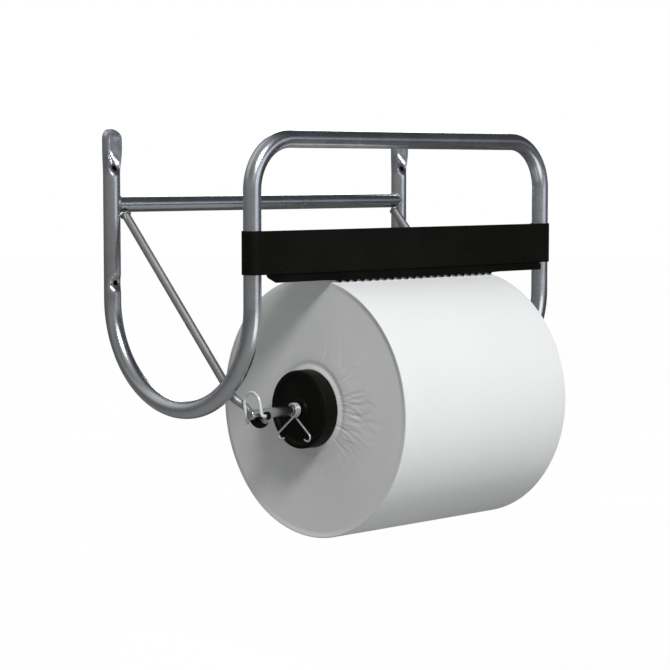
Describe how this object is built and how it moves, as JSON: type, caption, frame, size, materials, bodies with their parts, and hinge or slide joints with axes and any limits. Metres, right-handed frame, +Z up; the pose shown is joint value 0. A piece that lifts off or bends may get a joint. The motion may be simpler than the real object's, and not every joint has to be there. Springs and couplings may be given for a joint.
{
  "type": "wall-mounted paper roll holder",
  "caption": "Wall-mounted bent steel tube holder for a large paper towel roll, with a toothed black tear band and a loose axle in hooked braces, held by cones, spring clips and wire latches.",
  "frame": {"origin": "centre of the four wall screws, in the wall plane", "axes": "+Z up, +X to the right seen from the front, -Y out of the wall towards the user"},
  "size_m": [0.4572, 0.3446, 0.4185],
  "materials": {
    "frame_steel": "polished",
    "rod_steel": "satin",
    "axle_steel": "polished",
    "spring_wire": "bright",
    "latch_wire": "bright zinc",
    "black_plastic": "matte",
    "black_paint": "satin black",
    "paper": "soft white crepe",
    "core_board": "plain"
  },
  "bodies": {
    "frame": {"frame_tube": "frame_steel", "crossbar": "frame_steel", "brace_left": "rod_steel", "brace_right": "rod_steel", "hook_sleeve_left": "black_plastic", "hook_sleeve_right": "black_plastic", "tear_band": "black_paint", "saw_blade": "black_paint", "blade_rivet_1": "black_paint", "blade_rivet_2": "black_paint", "blade_rivet_3": "black_paint", "blade_rivet_4": "black_paint", "blade_rivet_5": "black_paint"},
    "axle": {"axle": "axle_steel"},
    "roll": {"paper_roll": "paper", "roll_core": "core_board"},
    "cone_left": {"cone_left": "black_plastic"},
    "cone_right": {"cone_right": "black_plastic"},
    "clip_left": {"clip_left": "spring_wire"},
    "clip_right": {"clip_right": "spring_wire"},
    "latch_left": {"latch_left": "latch_wire"},
    "latch_right": {"latch_right": "latch_wire"}
  },
  "joints": [
    {"name": "axle_turn", "type": "hinge", "parent": "frame", "child": "axle", "pos_m": [0, -0.2116, -0.1843], "axis": [1, 0, 0], "continuous": true},
    {"name": "roll_spin", "type": "hinge", "parent": "axle", "child": "roll", "pos_m": [0, -0.2116, -0.1843], "axis": [1, 0, 0], "continuous": true},
    {"name": "clip_slide_left", "type": "slide", "parent": "axle", "child": "clip_left", "axis": [-1, 0, 0], "range_m": [0, 0.035]},
    {"name": "cone_slide_left", "type": "slide", "parent": "roll", "child": "cone_left", "axis": [-1, 0, 0], "range_m": [0, 0.035]},
    {"name": "latch_swing_left", "type": "hinge", "parent": "frame", "child": "latch_left", "pos_m": [-0.2012, -0.22285, -0.18523], "axis": [1, 0, 0], "range_deg": [0, 110]},
    {"name": "clip_slide_right", "type": "slide", "parent": "axle", "child": "clip_right", "axis": [1, 0, 0], "range_m": [0, 0.035]},
    {"name": "cone_slide_right", "type": "slide", "parent": "roll", "child": "cone_right", "axis": [1, 0, 0], "range_m": [0, 0.035]},
    {"name": "latch_swing_right", "type": "hinge", "parent": "frame", "child": "latch_right", "pos_m": [0.2012, -0.22285, -0.18523], "axis": [1, 0, 0], "range_deg": [0, 110]}
  ],
  "couplings": [
    {"joint": "cone_slide_left", "follows": "clip_slide_left", "ratio": 1},
    {"joint": "cone_slide_right", "follows": "clip_slide_right", "ratio": 1}
  ]
}
